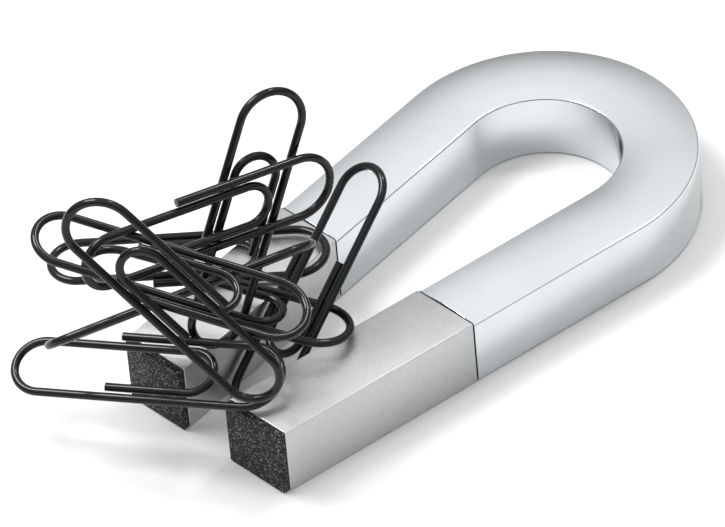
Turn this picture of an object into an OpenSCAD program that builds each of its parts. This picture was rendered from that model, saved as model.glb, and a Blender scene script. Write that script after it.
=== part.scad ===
// Magnetic desk sculpture: a horseshoe magnet that lies flat and gathers wire paper clips on its
// two poles. Millimetres, +Z up. The origin is on the underside, under the middle of the bend,
// and the two arms run toward -Y, closing in on each other as they go.

/* [Horseshoe] */
// Height of the chromed bar
bar_height = 9; // [7.5:0.1:10.8]
// Width of the bar, seen from above
bar_width = 9; // [7.5:0.1:9.4]
// Radius of the bend to the middle of the bar
bend_radius = 14.1; // [13.8:0.1:17]
// How far each arm turns in toward the other, in degrees
arm_lean = 6.2; // [4:0.1:6.6]
// Distance from the bend's centre to the joint between bar and pole
seam_reach = 26.8; // [22:0.1:27]
// Length of each pole block between its joint and its tip plate
pole_length = 27.4; // [24:0.1:27.4]
// Rise of the crowned top over its edges
crown_rise = 0.5; // [0.1:0.1:0.8]
// Bevel along the bar's edges
edge_bevel = 0.3; // [0.1:0.05:0.5]

/* [Poles] */
// How much lower the pole blocks are than the bar
pole_step = 0.1; // [0:0.05:0.3]
// Bevel along the pole blocks' edges
pole_bevel = 0.15; // [0.05:0.05:0.4]
// Thickness of the gasket in the joint
gasket_thickness = 0.2; // [0.1:0.05:1]
// Thickness of the tip plates
tip_thickness = 0.9; // [0.5:0.1:1.5]
// How far the tip plates and gaskets stay inside the bar's outline
face_inset = 0.1; // [0.05:0.05:0.5]
// Width and height of the bar magnets
magnet_side = 5; // [3:0.1:6.4]
// Length of the bar magnets
magnet_length = 16; // [10:0.5:17]
// Diameter of the joint studs
stud_diameter = 3; // [2:0.1:4]
// Length of the joint studs
stud_length = 14; // [8:0.5:16]
// Clearance around the magnets and studs
fit_clearance = 0.05; // [0.03:0.01:0.1]

/* [Paper clips] */
// Length of a clip over its bends
clip_length = 33; // [30:0.5:33]
// Width of a clip
clip_width = 9; // [8.2:0.1:9]
// Diameter of the coated wire
wire = 1; // [0.8:0.02:1]
// Width of the narrow bend that the outer loop ends in
narrow_width = 7.7; // [7.4:0.1:7.7]
// Width of the inner loop
inner_width = 6.4; // [5:0.1:6.4]
// Length from the wide bend back to the inner loop's bend
inner_setback = 8.1; // [7:0.1:12]
// Where the outer and inner free ends stop, from the narrow bend
outer_end = 12.5; // [10:0.5:16]
inner_end = 12; // [10:0.5:16]

/* [Hidden] */
$fn = 96;

right = 1;
left = -1;
bend_y = -bend_radius;
arm_start = [bend_radius * cos(arm_lean), bend_y - bend_radius * sin(arm_lean)];
seam_y = bend_y - seam_reach;
pole_y = seam_y - gasket_thickness;
tip_y = seam_y - pole_length;
end_y = tip_y - tip_thickness;
crown_radius = (pow(bar_width / 2, 2) + pow(crown_rise, 2)) / (2 * crown_rise);
pole_height = bar_height - pole_step;
axis_height = bar_height / 2;
seam_run = (arm_start[1] - seam_y) / cos(arm_lean);
tip_run = (arm_start[1] - tip_y) / cos(arm_lean);
skew_room = bar_width * tan(arm_lean);
magnet_end = tip_run - skew_room;
long_run = tip_run + 20;
wide = 200;

// ---- sections across the bar: X across, Y up ----

module bevelled(w, h, c) {
    polygon([[-w / 2 + c, 0], [w / 2 - c, 0], [w / 2, c], [w / 2, h - c],
             [w / 2 - c, h], [-w / 2 + c, h], [-w / 2, h - c], [-w / 2, c]]);
}

module bar_section() {
    intersection() {
        bevelled(bar_width, bar_height - crown_rise + edge_bevel, edge_bevel);
        translate([0, bar_height - crown_radius]) circle(crown_radius, $fn = 240);
    }
    intersection() {
        translate([-bar_width / 2 + edge_bevel, bar_height - crown_rise - edge_bevel])
            square([bar_width - 2 * edge_bevel, crown_rise + edge_bevel]);
        translate([0, bar_height - crown_radius]) circle(crown_radius, $fn = 240);
    }
}

// A section run down one arm from the end of the bend
module along_arm(side, from, to) {
    mirror([side == left ? 1 : 0, 0, 0])
        translate([arm_start[0], arm_start[1], 0])
            rotate([0, 0, -arm_lean]) rotate([90, 0, 0])
                translate([0, 0, from]) linear_extrude(to - from) children();
}

// Everything between two planes across both arms
module between(y_near, y_far) {
    translate([-wide / 2, y_far, -wide / 2]) cube([wide, y_near - y_far, wide]);
}

module stud_bore(side) {
    along_arm(side, seam_run - stud_length / 2 - fit_clearance,
              seam_run + stud_length / 2 + fit_clearance)
        translate([0, axis_height]) circle(d = stud_diameter + 2 * fit_clearance);
}

module square_bar(side, size, from, to) {
    along_arm(side, from, to)
        translate([-size / 2, axis_height - size / 2]) square(size);
}

// ---- horseshoe ----

module yoke_body() {
    color("#dfe3e6") difference() {
        union() {
            translate([0, bend_y, 0]) rotate([0, 0, -arm_lean])
                rotate_extrude(angle = 180 + 2 * arm_lean, $fn = 180)
                    translate([bend_radius, 0]) bar_section();
            for (side = [right, left]) intersection() {
                along_arm(side, 0, long_run) bar_section();
                between(arm_start[1] + bar_width, seam_y);
            }
        }
        for (side = [right, left]) stud_bore(side);
    }
}

module pole_block(side) {
    color("#bfc1c1") difference() {
        intersection() {
            along_arm(side, 0, long_run) bevelled(bar_width, pole_height, pole_bevel);
            between(pole_y, tip_y);
        }
        stud_bore(side);
        square_bar(side, magnet_side + 2 * fit_clearance,
                   magnet_end - magnet_length - fit_clearance, long_run);
    }
}

module magnet_bar(side) {
    color("#6f7477") square_bar(side, magnet_side, magnet_end - magnet_length, magnet_end);
}

module tip_plate(side) {
    color("#2a2b2c") intersection() {
        along_arm(side, 0, long_run)
            translate([0, face_inset])
                bevelled(bar_width - 2 * face_inset, pole_height - 2 * face_inset, pole_bevel);
        between(tip_y, end_y);
    }
}

module seam_gasket(side) {
    color("#151617") difference() {
        intersection() {
            along_arm(side, 0, long_run)
                translate([0, face_inset])
                    bevelled(bar_width - 2 * face_inset, pole_height - 2 * face_inset, pole_bevel);
            between(seam_y, pole_y);
        }
        stud_bore(side);
    }
}

module joint_stud(side) {
    color("#8d9194") along_arm(side, seam_run - stud_length / 2, seam_run + stud_length / 2)
        translate([0, axis_height]) circle(d = stud_diameter);
}

module right_pole_block() { pole_block(right); }
module right_magnet_bar() { magnet_bar(right); }
module right_tip_plate() { tip_plate(right); }
module right_seam_gasket() { seam_gasket(right); }
module right_joint_stud() { joint_stud(right); }
module left_pole_block() { pole_block(left); }
module left_magnet_bar() { magnet_bar(left); }
module left_tip_plate() { tip_plate(left); }
module left_seam_gasket() { seam_gasket(left); }
module left_joint_stud() { joint_stud(left); }

// ---- paper clip, flat in XY: wide bend at +X, narrow bend at -X, middle at the origin ----

wide_r = (clip_width - wire) / 2;
narrow_r = (narrow_width - wire) / 2;
inner_r = (inner_width - wire) / 2;
wide_x = clip_length / 2 - wire / 2 - wide_r;
narrow_x = -clip_length / 2 + wire / 2 + narrow_r;
narrow_y = wide_r - narrow_r;
return_y = wide_r - 2 * narrow_r;
inner_y = return_y + inner_r;
inner_x = clip_length / 2 - inner_setback - wire / 2 - inner_r;

module leg(x0, x1, y) {
    translate([x0, y, 0]) rotate([0, 90, 0]) cylinder(h = x1 - x0, d = wire, $fn = 24);
}

module half_turn(x, y, r, from) {
    translate([x, y, 0]) rotate([0, 0, from])
        rotate_extrude(angle = 180, $fn = 72) translate([r, 0]) circle(d = wire, $fn = 24);
}

module paper_clip() {
    color("#24272a") union() {
        leg(-clip_length / 2 + outer_end, wide_x, -wide_r);
        half_turn(wide_x, 0, wide_r, -90);
        leg(narrow_x, wide_x, wide_r);
        half_turn(narrow_x, narrow_y, narrow_r, 90);
        leg(narrow_x, inner_x, return_y);
        half_turn(inner_x, inner_y, inner_r, -90);
        leg(-clip_length / 2 + inner_end, inner_x, inner_y + inner_r);
    }
}

// ---- the heap: where each clip's middle lies, from the middle of the tips at the pole blocks'
// tops, and how it is turned ----

module in_heap(place, turns) {
    translate([0, end_y, pole_height] + place) rotate(turns) children();
}

module low_front_clip() { in_heap([-5.9, -2.6, 1.2], [-161, -5, 29]) paper_clip(); }
module tall_back_clip() { in_heap([-4.2, 12.3, 15.1], [-108, -62, 90]) paper_clip(); }
module cross_clip() { in_heap([-4.1, 7.1, 18.2], [-93, 5, 76]) paper_clip(); }
module right_standing_clip() { in_heap([-1.1, 18.3, 1.9], [14.5, 38.5, -83]) paper_clip(); }
module long_top_clip() { in_heap([-0.3, -2.5, 18.3], [10, 17, 34]) paper_clip(); }
module diagonal_clip() { in_heap([4, -5.6, 19.4], [-81.5, -48.5, -149.5]) paper_clip(); }
module pole_top_clip() { in_heap([-7.2, 9.8, 3.2], [-11, 7, 26]) paper_clip(); }
module far_side_clip() { in_heap([-16.7, 14.1, 0.7], [0, -0.5, 45.5]) paper_clip(); }
module tucked_clip() { in_heap([-3.4, 1.3, 11.4], [138, -14, 57]) paper_clip(); }

yoke_body();
right_pole_block();
right_magnet_bar();
right_tip_plate();
right_seam_gasket();
right_joint_stud();
left_pole_block();
left_magnet_bar();
left_tip_plate();
left_seam_gasket();
left_joint_stud();
low_front_clip();
tall_back_clip();
cross_clip();
right_standing_clip();
long_top_clip();
diagonal_clip();
pole_top_clip();
far_side_clip();
tucked_clip();
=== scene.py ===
"""Magnetic desk sculpture: a horseshoe magnet lying flat, with wire paper clips on its poles."""
import math

import bmesh
import bpy
from mathutils import Matrix, Vector


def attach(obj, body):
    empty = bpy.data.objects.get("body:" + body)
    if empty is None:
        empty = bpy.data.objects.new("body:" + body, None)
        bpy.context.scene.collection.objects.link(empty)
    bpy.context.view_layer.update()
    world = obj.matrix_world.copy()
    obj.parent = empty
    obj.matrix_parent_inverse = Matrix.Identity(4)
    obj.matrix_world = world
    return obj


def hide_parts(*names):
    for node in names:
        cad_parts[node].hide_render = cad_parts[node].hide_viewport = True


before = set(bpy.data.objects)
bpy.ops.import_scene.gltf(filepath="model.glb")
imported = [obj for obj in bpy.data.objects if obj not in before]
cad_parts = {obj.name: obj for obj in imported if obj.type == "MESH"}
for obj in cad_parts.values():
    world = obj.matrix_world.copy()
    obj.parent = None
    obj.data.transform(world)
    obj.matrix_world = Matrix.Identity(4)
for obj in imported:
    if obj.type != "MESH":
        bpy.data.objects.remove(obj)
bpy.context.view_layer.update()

MM = 0.001

# ---- sizes of the real pieces, in millimetres, as in the part's source ----

BAR_HEIGHT = 9.0
BAR_WIDTH = 9.0
BEND_RADIUS = 14.1        # to the middle of the bar
ARM_LEAN = math.radians(6.2)
SEAM_REACH = 26.8         # from the bend's centre to the joints
POLE_LENGTH = 27.4        # from the joints to the tip plates
CROWN_RISE = 0.5
EDGE_BEVEL = 0.3
POLE_STEP = 0.1           # how much lower the pole blocks are than the bar
POLE_BEVEL = 0.15
GASKET = 0.2
TIP_THICKNESS = 0.9
FACE_INSET = 0.1          # the tip plates are this much smaller all round

CLIP_LENGTH = 33.0
CLIP_WIDTH = 9.0
WIRE = 1.0
NARROW_WIDTH = 7.7        # over the outer bend at the left
INNER_WIDTH = 6.4         # over the inner bend
INNER_SETBACK = 8.1       # from the clip's right end to the inner bend
OUTER_END = 12.5          # from the clip's left end to the outer end of its wire
INNER_END = 12.0          # from the clip's left end to the inner end of its wire

BEND_Y = -BEND_RADIUS
SEAM_Y = BEND_Y - SEAM_REACH
POLE_Y = SEAM_Y - GASKET
TIP_Y = SEAM_Y - POLE_LENGTH
END_Y = TIP_Y - TIP_THICKNESS

POLE_HEIGHT = BAR_HEIGHT - POLE_STEP

# ---- how the shapes are drawn: counts, and softened edges in millimetres ----

BEND_SEGMENTS = 128
CROWN_STEPS = 24          # facets across the crowned top
EDGE_STEPS = 5            # facets around each rounded top edge
HOLD = 0.05               # a narrow strip that keeps the walls' shading flat
YOKE_SOFTENING = 0.06     # on the yoke's rims and lower edges
POLE_SOFTENING = 0.1
TIP_SOFTENING = 0.14
WIRE_BEND_STEPS = 14      # points in each rounded corner of the wire
WIRE_RING_STEPS = 20      # points around the wire
FILLET_SHARE = 0.9999     # keeps the two roundings of a half turn from quite meeting

# Where the middle of each clip lies, from the middle of the tips at the pole blocks' tops, and
# its turns about X, Y and Z in degrees
HEAP = {
    "low_front_clip": ((-5.9, -2.6, 1.2), (-161, -5, 29)),
    "tall_back_clip": ((-4.2, 12.3, 15.1), (-108, -62, 90)),
    "cross_clip": ((-4.1, 7.1, 18.2), (-93, 5, 76)),
    "right_standing_clip": ((-1.1, 18.3, 1.9), (14.5, 38.5, -83)),
    "long_top_clip": ((-0.3, -2.5, 18.3), (10, 17, 34)),
    "diagonal_clip": ((4, -5.6, 19.4), (-81.5, -48.5, -149.5)),
    "pole_top_clip": ((-7.2, 9.8, 3.2), (-11, 7, 26)),
    "far_side_clip": ((-16.7, 14.1, 0.7), (0, -0.5, 45.5)),
    "tucked_clip": ((-3.4, 1.3, 11.4), (138, -14, 57)),
}


# ---- camera ----

CAMERA_AZIMUTH = 48.85    # degrees, from -Y toward +X
CAMERA_ELEVATION = 40.88
CAMERA_ROLL = -5.38
CAMERA_TARGET = (-9.1, -35.2, 0)
CAMERA_DISTANCE = 1094.5
SENSOR_WIDTH = 36
LENS = 465


def unit_toward(azimuth_degrees, elevation_degrees):
    """Unit vector toward an azimuth, from -Y toward +X, and an elevation above the floor."""
    azimuth = math.radians(azimuth_degrees)
    elevation = math.radians(elevation_degrees)
    return Vector((math.sin(azimuth) * math.cos(elevation),
                   -math.cos(azimuth) * math.cos(elevation), math.sin(elevation)))


def add_camera():
    """A long lens, well back, looking down at the horseshoe from beside its right arm."""
    azimuth = math.radians(CAMERA_AZIMUTH)
    roll = math.radians(CAMERA_ROLL)
    back = unit_toward(CAMERA_AZIMUTH, CAMERA_ELEVATION)
    level = Vector((math.cos(azimuth), math.sin(azimuth), 0))
    above = back.cross(level)
    right = math.cos(roll) * level + math.sin(roll) * above
    up = -math.sin(roll) * level + math.cos(roll) * above
    data = bpy.data.cameras.new("camera")
    data.sensor_width = SENSOR_WIDTH
    data.lens = LENS
    data.clip_start = 0.01
    data.clip_end = 10
    camera = bpy.data.objects.new("camera", data)
    bpy.context.scene.collection.objects.link(camera)
    place = Matrix((right, up, back)).transposed().to_4x4()
    place.translation = Vector(CAMERA_TARGET) * MM + back * (CAMERA_DISTANCE * MM)
    camera.matrix_world = place
    bpy.context.scene.camera = camera


# ---- materials ----

def colour(hex_code):
    """An sRGB hex value as a linear colour."""
    channels = [int(hex_code[i:i + 2], 16) / 255 for i in (1, 3, 5)]
    return [c / 12.92 if c <= 0.04045 else ((c + 0.055) / 1.055) ** 2.4 for c in channels] + [1]


def add_node(tree, kind, settings=None, inputs=None):
    """Adds a node, sets its properties, and sets or links its inputs."""
    node = tree.nodes.new(kind)
    for name, value in (settings or {}).items():
        setattr(node, name, value)
    for name, value in (inputs or {}).items():
        if isinstance(value, bpy.types.NodeSocket):
            tree.links.new(value, node.inputs[name])
        else:
            node.inputs[name].default_value = value
    return node


def new_material(name, **constants):
    """A material with one Principled shader, its constant sockets set."""
    material = bpy.data.materials.new(name)
    material.use_nodes = True
    tree = material.node_tree
    tree.nodes.clear()
    shader = add_node(tree, "ShaderNodeBsdfPrincipled",
                      inputs={k.replace("_", " "): v for k, v in constants.items()})
    add_node(tree, "ShaderNodeOutputMaterial", inputs={"Surface": shader.outputs[0]})
    place = add_node(tree, "ShaderNodeTexCoord").outputs["Object"]
    return material, tree, shader, place


def per_mm(size):
    """Texture scale that gives features of about this many millimetres."""
    return 1 / (size * MM)


def ramp(tree, factor, stops):
    """A colour ramp over grey or hex stops."""
    node = add_node(tree, "ShaderNodeValToRGB", inputs={"Fac": factor})
    elements = node.color_ramp.elements
    while len(elements) < len(stops):
        elements.new(0.5)
    for element, (position, shade) in zip(elements, stops):
        element.position = position
        element.color = colour(shade) if isinstance(shade, str) else [shade] * 3 + [1]
    return node.outputs["Color"]


def noise(tree, place, size_mm, detail=3.0, roughness=0.5):
    """Cloudy grey pattern with features of about the given size."""
    node = add_node(tree, "ShaderNodeTexNoise", inputs={
        "Vector": place, "Scale": per_mm(size_mm), "Detail": detail, "Roughness": roughness})
    return node.outputs["Fac"]


def paint(tree, shader, tint, gloss):
    """Gives a shader its colour pattern and its roughness pattern."""
    tree.links.new(tint, shader.inputs["Base Color"])
    tree.links.new(gloss, shader.inputs["Roughness"])


def bump(tree, shader, height, depth_mm, strength):
    """Makes a surface look uneven, following a pattern of heights."""
    node = add_node(tree, "ShaderNodeBump", inputs={
        "Height": height, "Distance": depth_mm * MM, "Strength": strength})
    tree.links.new(node.outputs["Normal"], shader.inputs["Normal"])


def polished_chrome():
    """Chromed die-cast zinc, buffed. Mirror bright, with faint wiping haze and a slight wave."""
    material, tree, shader, place = new_material("polished_chrome", Metallic=1.0)
    haze = noise(tree, place, 9, detail=4)
    tint = ramp(tree, haze, [(0.3, "#d3d7d9"), (0.7, "#d9dcde")])
    gloss = ramp(tree, noise(tree, place, 5, detail=5, roughness=0.6), [(0.3, 0.07), (0.75, 0.13)])
    paint(tree, shader, tint, gloss)
    bump(tree, shader, noise(tree, place, 3, detail=2), depth_mm=0.01, strength=0.25)
    return material


def satin_nickel():
    """Steel block, bead blasted and nickel plated: satin, with a fine cloudy mottle. The blasted
    grain is drawn coarser than the real one, so that it shows."""
    material, tree, shader, place = new_material("satin_nickel", Metallic=1.0)
    mottle = noise(tree, place, 0.55, detail=6, roughness=0.62)
    tint = ramp(tree, mottle, [(0.3, "#bfc0c1"), (0.5, "#c4c5c6"), (0.72, "#cacbcc")])
    gloss = ramp(tree, noise(tree, place, 1.4, detail=4), [(0.3, 0.38), (0.7, 0.44)])
    paint(tree, shader, tint, gloss)
    bump(tree, shader, noise(tree, place, 0.2, detail=3), depth_mm=0.004, strength=0.3)
    return material


def grained_black():
    """Black moulded plastic with a fine, rough grain: dull, its grain tone varying at random, and its
    lightest grains painted light grey as glints.
    """
    material, tree, shader, place = new_material("grained_black", Metallic=0.0,
                                                 Specular_IOR_Level=0.25)
    grit = add_node(tree, "ShaderNodeTexVoronoi", {"feature": "F1"},
                    {"Vector": place, "Scale": per_mm(0.13), "Randomness": 1.0})
    speck = add_node(tree, "ShaderNodeSeparateColor", inputs={"Color": grit.outputs["Color"]})
    # Grain tone varies at random; the lightest grains' grey is painted glint, not the plastic's own
    # colour
    tint = ramp(tree, speck.outputs["Red"], [(0.0, "#0c0c0d"), (0.62, "#151516"),
                                             (0.86, "#3c3c3c"), (0.98, "#909090")])
    gloss = ramp(tree, speck.outputs["Green"], [(0.0, 0.5), (1.0, 0.85)])
    paint(tree, shader, tint, gloss)
    bump(tree, shader, grit.outputs["Distance"], depth_mm=0.05, strength=0.5)
    return material


def coated_wire():
    """Steel wire in a gloss black polymer coat: deep black, wet highlights, slight orange peel."""
    material, tree, shader, place = new_material("coated_wire", Metallic=0.0, IOR=1.45,
                                                 Specular_IOR_Level=0.36)
    worn = noise(tree, place, 2.2, detail=4)
    tint = ramp(tree, worn, [(0.35, "#0a0c0e"), (0.65, "#101315"), (0.85, "#191d20")])
    gloss = ramp(tree, noise(tree, place, 0.9, detail=3), [(0.3, 0.1), (0.75, 0.2)])
    paint(tree, shader, tint, gloss)
    bump(tree, shader, noise(tree, place, 0.5, detail=2), depth_mm=0.01, strength=0.3)
    return material


def black_gasket():
    """Thin die-cut rubber, matt and slightly dusty."""
    material, tree, shader, place = new_material("black_gasket", Metallic=0.0)
    tint = ramp(tree, noise(tree, place, 0.6), [(0.3, "#0b0b0c"), (0.7, "#161617")])
    gloss = ramp(tree, noise(tree, place, 0.4), [(0.3, 0.7), (0.7, 0.9)])
    paint(tree, shader, tint, gloss)
    return material


def plated_magnet():
    """Sintered magnet in dull nickel plate, inside the pole block."""
    material, tree, shader, place = new_material("plated_magnet", Metallic=1.0)
    tint = ramp(tree, noise(tree, place, 0.8, detail=4), [(0.3, "#8a8d8f"), (0.7, "#9ea1a3")])
    gloss = ramp(tree, noise(tree, place, 0.5), [(0.3, 0.35), (0.7, 0.5)])
    paint(tree, shader, tint, gloss)
    return material


def turned_steel():
    """Turned steel stud, bright with fine tool marks, inside the joint."""
    material, tree, shader, place = new_material("turned_steel", Metallic=1.0)
    tint = ramp(tree, noise(tree, place, 0.7, detail=4), [(0.3, "#9a9da0"), (0.7, "#b4b7ba")])
    gloss = ramp(tree, noise(tree, place, 0.3), [(0.3, 0.25), (0.7, 0.4)])
    paint(tree, shader, tint, gloss)
    return material


# ---- the bar and pole blocks: a section swept along the horseshoe ----

def bar_section(width, height, bevel, crown):
    """Outline of the bar's section as (across, up) points, anticlockwise from the lower left. The
    top is crowned where a crown is given, and its edges are rounded over."""
    half = width / 2
    run = half - bevel
    top = [(run, height), (-run, height)]
    if crown:
        radius = (half ** 2 + crown ** 2) / (2 * crown)
        across = [run - 2 * run * i / CROWN_STEPS for i in range(CROWN_STEPS + 1)]
        top = [(x, height - radius + math.sqrt(radius ** 2 - x ** 2)) for x in across]
    shoulder = top[0][1] - bevel
    turns = [math.radians(90 * i / EDGE_STEPS) for i in range(EDGE_STEPS)]
    edge = [(run + bevel * math.cos(a), shoulder + bevel * math.sin(a)) for a in turns]
    right = [(half, bevel), (half, shoulder - HOLD)] + edge
    left = [(-x, y) for x, y in reversed(right)]
    return [(-run, 0), (run, 0)] + right + top + left


def arm_point(side, across, y):
    """A point of an arm that is `across` from its middle line, where the plane y cuts it."""
    start = Vector((BEND_RADIUS * math.cos(ARM_LEAN), BEND_Y - BEND_RADIUS * math.sin(ARM_LEAN)))
    outward = Vector((math.cos(ARM_LEAN), -math.sin(ARM_LEAN)))
    along = Vector((-math.sin(ARM_LEAN), -math.cos(ARM_LEAN)))
    point = start + outward * across
    point += along * ((y - point.y) / along.y)
    return side * point.x, point.y


def bend_point(angle, across):
    """A point of the bend that is `across` from its middle line, at an angle from +X."""
    radius = BEND_RADIUS + across
    return radius * math.cos(angle), BEND_Y + radius * math.sin(angle)


def loft(name, rings):
    """Joins closed rings of points, in millimetres, into one capped solid."""
    bm = bmesh.new()
    made = [[bm.verts.new(Vector(p) * MM) for p in ring] for ring in rings]
    count = len(made[0])
    for one, two in zip(made, made[1:]):
        for i in range(count):
            j = (i + 1) % count
            bm.faces.new((one[i], one[j], two[j], two[i]))
    bm.faces.new(made[0])
    bm.faces.new(list(reversed(made[-1])))
    bmesh.ops.recalc_face_normals(bm, faces=bm.faces)
    mesh = bpy.data.meshes.new(name)
    bm.to_mesh(mesh)
    bm.free()
    piece = bpy.data.objects.new(name, mesh)
    bpy.context.scene.collection.objects.link(piece)
    return piece


def settle(piece, sharp_degrees=35):
    """Turns a piece's modifiers into plain mesh, smooth but for its sharp edges."""
    evaluated = piece.evaluated_get(bpy.context.evaluated_depsgraph_get())
    mesh = bpy.data.meshes.new_from_object(evaluated)
    piece.modifiers.clear()
    piece.data = mesh
    mesh.shade_smooth()
    mesh.set_sharp_from_angle(angle=math.radians(sharp_degrees))
    return piece


def soften(piece, width_mm, segments=2):
    """Rounds a piece's sharp edges, those of more than 30 degrees, with a small bevel."""
    bevel = piece.modifiers.new("bevel", "BEVEL")
    bevel.width = width_mm * MM
    bevel.segments = segments
    bevel.limit_method = "ANGLE"
    bevel.angle_limit = math.radians(30)
    return settle(piece)


def finish_piece(piece, body, node, material):
    """Gives a piece its material, attaches it to its body, and hides the CAD part it stands in for."""
    piece.data.materials.clear()
    piece.data.materials.append(material)
    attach(piece, body)
    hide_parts(node)


def make_yoke(material):
    """The bend and both arms, swept from one joint round to the other."""
    section = bar_section(BAR_WIDTH, BAR_HEIGHT, EDGE_BEVEL, CROWN_RISE)
    rings = [[(*arm_point(1, x, SEAM_Y), z) for x, z in section]]
    sweep = math.pi + 2 * ARM_LEAN
    for i in range(BEND_SEGMENTS + 1):
        angle = -ARM_LEAN + sweep * i / BEND_SEGMENTS
        rings.append([(*bend_point(angle, x), z) for x, z in section])
    rings.append([(*arm_point(-1, x, SEAM_Y), z) for x, z in section])
    yoke = soften(loft("yoke", rings), YOKE_SOFTENING)
    finish_piece(yoke, "magnet", "yoke_body", material)


def make_block(name, side, y_near, y_far, section, bevel_mm, node, material):
    """A straight stretch of one arm between two planes across both arms."""
    rings = [[(*arm_point(side, x, y), z) for x, z in section] for y in (y_near, y_far)]
    block = soften(loft(name, rings), bevel_mm, segments=3)
    finish_piece(block, "magnet", node, material)


# ---- paper clips: bent wire, made by one node tree ----

def bent_wire_tree():
    """Rounds a cornered path, sweeps the wire along it and puts it in its place."""
    tree = bpy.data.node_groups.new("bent_wire", "GeometryNodeTree")
    sockets = {}
    for label, kind in (("Path", "NodeSocketGeometry"), ("Wire", "NodeSocketFloat"),
                        ("Bend Steps", "NodeSocketInt"), ("Ring Steps", "NodeSocketInt"),
                        ("Position", "NodeSocketVector"), ("Rotation", "NodeSocketVector"),
                        ("Material", "NodeSocketMaterial")):
        sockets[label] = tree.interface.new_socket(label, in_out="INPUT", socket_type=kind).identifier
    tree.interface.new_socket("Wire Shape", in_out="OUTPUT", socket_type="NodeSocketGeometry")
    given = add_node(tree, "NodeGroupInput").outputs
    path = add_node(tree, "GeometryNodeMeshToCurve", inputs={"Mesh": given["Path"]})
    bend = add_node(tree, "GeometryNodeInputNamedAttribute", {"data_type": "FLOAT"},
                    {"Name": "bend_radius"})
    rounded = add_node(tree, "GeometryNodeFilletCurve", {"mode": "POLY"}, {
        "Curve": path.outputs[0], "Count": given["Bend Steps"], "Radius": bend.outputs[0],
        "Limit Radius": True})
    half = add_node(tree, "ShaderNodeMath", {"operation": "MULTIPLY"})
    tree.links.new(given["Wire"], half.inputs[0])
    half.inputs[1].default_value = 0.5
    ring = add_node(tree, "GeometryNodeCurvePrimitiveCircle", inputs={
        "Resolution": given["Ring Steps"], "Radius": half.outputs[0]})
    tube = add_node(tree, "GeometryNodeCurveToMesh", inputs={
        "Curve": rounded.outputs[0], "Profile Curve": ring.outputs[0], "Fill Caps": True})
    placed = add_node(tree, "GeometryNodeTransform", inputs={
        "Geometry": tube.outputs[0], "Translation": given["Position"], "Rotation": given["Rotation"]})
    real = add_node(tree, "GeometryNodeRealizeInstances", inputs={"Geometry": placed.outputs[0]})
    painted = add_node(tree, "GeometryNodeSetMaterial", inputs={
        "Geometry": real.outputs[0], "Material": given["Material"]})
    out = add_node(tree, "NodeGroupOutput")
    tree.links.new(painted.outputs[0], out.inputs[0])
    return tree, sockets


def clip_corners():
    """The clip's path as (x, y, bend radius) corners in millimetres; a half turn is two corners."""
    wide = (CLIP_WIDTH - WIRE) / 2
    narrow = (NARROW_WIDTH - WIRE) / 2
    inner = (INNER_WIDTH - WIRE) / 2
    right = CLIP_LENGTH / 2 - WIRE / 2
    left = -CLIP_LENGTH / 2 + WIRE / 2
    inner_right = CLIP_LENGTH / 2 - INNER_SETBACK - WIRE / 2
    back = wide - 2 * narrow
    return [(-CLIP_LENGTH / 2 + OUTER_END, -wide, 0), (right, -wide, wide), (right, wide, wide),
            (left, wide, narrow), (left, back, narrow), (inner_right, back, inner),
            (inner_right, back + 2 * inner, inner), (-CLIP_LENGTH / 2 + INNER_END, back + 2 * inner, 0)]


def make_clip(node, tree, sockets, material):
    """One paper clip, bent and put in its place in the heap by the node tree."""
    corners = clip_corners()
    mesh = bpy.data.meshes.new(node + "_wire")
    mesh.from_pydata([(x * MM, y * MM, 0) for x, y, _ in corners],
                     [(i, i + 1) for i in range(len(corners) - 1)], [])
    radius = mesh.attributes.new("bend_radius", "FLOAT", "POINT")
    for item, (_, _, r) in zip(radius.data, corners):
        item.value = r * MM * FILLET_SHARE
    clip = bpy.data.objects.new(node + "_wire", mesh)
    bpy.context.scene.collection.objects.link(clip)
    place, turns = HEAP[node]
    position = Vector((0, END_Y, POLE_HEIGHT)) + Vector(place)
    modifier = clip.modifiers.new("bent_wire", "NODES")
    modifier.node_group = tree
    for label, value in (("Wire", WIRE * MM), ("Bend Steps", WIRE_BEND_STEPS),
                         ("Ring Steps", WIRE_RING_STEPS),
                         ("Position", [p * MM for p in position]),
                         ("Rotation", [math.radians(t) for t in turns]), ("Material", material)):
        modifier[sockets[label]] = value
    settle(clip, sharp_degrees=50)
    finish_piece(clip, node, node, material)


# ---- floor and light, in metres ----

FLOOR_REACH = 4.0
SOFTBOX_TARGET = (0, -0.035, 0)
SOFTBOX_DISTANCE = 0.7
ROOM_STRENGTH = 1.02
# Brightness of the room against the sine of the height above the horizon
ROOM_SHADES = [(0.0, 0.14), (0.3, 0.44), (0.5, 0.76), (0.66, 1.02), (0.84, 1.18)]


def add_stage():
    """A wide matt white floor under the object."""
    material, tree, shader, place = new_material("matt_white_sweep", Roughness=0.9)
    tint = ramp(tree, noise(tree, place, 120, detail=2), [(0.3, "#dadada"), (0.7, "#dedede")])
    tree.links.new(tint, shader.inputs["Base Color"])
    mesh = bpy.data.meshes.new("floor")
    corners = [(x * FLOOR_REACH, y * FLOOR_REACH, 0) for x, y in ((-1, -1), (1, -1), (1, 1), (-1, 1))]
    mesh.from_pydata(corners, [], [(0, 1, 2, 3)])
    mesh.materials.append(material)
    floor = bpy.data.objects.new("floor", mesh)
    bpy.context.scene.collection.objects.link(floor)


def add_light(name, azimuth, elevation, size, power):
    """A square soft box aimed at the middle of the horseshoe."""
    away = unit_toward(azimuth, elevation)
    data = bpy.data.lights.new(name, "AREA")
    data.energy = power
    data.size = size
    light = bpy.data.objects.new(name, data)
    light.location = Vector(SOFTBOX_TARGET) + away * SOFTBOX_DISTANCE
    light.rotation_mode = "QUATERNION"
    light.rotation_quaternion = (-away).to_track_quat("-Z", "Y")
    bpy.context.scene.collection.objects.link(light)


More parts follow.
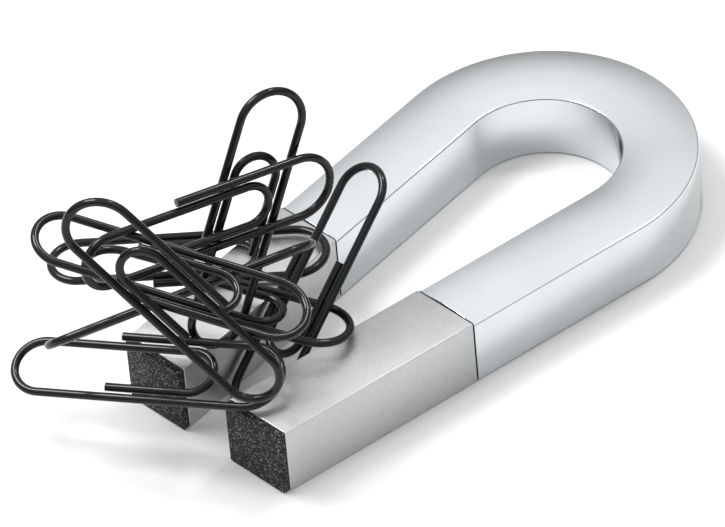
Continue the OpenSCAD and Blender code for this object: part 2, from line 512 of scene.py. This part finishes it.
def add_lighting():
    """A soft room, bright overhead and dark below, with a key light and a weak one behind."""
    world = bpy.data.worlds.new("soft_room")
    world.use_nodes = True
    tree = world.node_tree
    tree.nodes.clear()
    direction = add_node(tree, "ShaderNodeTexCoord").outputs["Generated"]
    height = add_node(tree, "ShaderNodeSeparateXYZ", inputs={"Vector": direction}).outputs["Z"]
    shade = ramp(tree, height, ROOM_SHADES)
    light = add_node(tree, "ShaderNodeBackground", inputs={"Color": shade, "Strength": ROOM_STRENGTH})
    add_node(tree, "ShaderNodeOutputWorld", inputs={"Surface": light.outputs[0]})
    bpy.context.scene.world = world
    add_light("key_softbox", azimuth=-60, elevation=60, size=0.28, power=4.0)
    add_light("back_softbox", azimuth=182, elevation=60, size=0.1, power=0.9)
    bpy.context.scene.view_settings.view_transform = "Standard"


# ---- the scene ----

add_camera()
CHROME = polished_chrome()
NICKEL = satin_nickel()
GRAIN = grained_black()
RUBBER = black_gasket()
SINTER = plated_magnet()
STEEL = turned_steel()
COAT = coated_wire()

make_yoke(CHROME)
pole_section = bar_section(BAR_WIDTH, POLE_HEIGHT, POLE_BEVEL, 0)
tip_section = [(x, z + FACE_INSET) for x, z in bar_section(
    BAR_WIDTH - 2 * FACE_INSET, POLE_HEIGHT - 2 * FACE_INSET, POLE_BEVEL, 0)]
for side, hand in ((1, "right"), (-1, "left")):
    make_block(hand + "_pole", side, POLE_Y, TIP_Y, pole_section, POLE_SOFTENING,
               hand + "_pole_block", NICKEL)
    make_block(hand + "_tip", side, TIP_Y, END_Y, tip_section, TIP_SOFTENING,
               hand + "_tip_plate", GRAIN)
    # These three stay the CAD's own shapes
    for part, material in (("_seam_gasket", RUBBER), ("_magnet_bar", SINTER), ("_joint_stud", STEEL)):
        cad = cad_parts[hand + part]
        cad.data.materials.clear()
        cad.data.materials.append(material)

wire_tree, wire_sockets = bent_wire_tree()
for clip_node in HEAP:
    make_clip(clip_node, wire_tree, wire_sockets, COAT)

add_stage()
add_lighting()
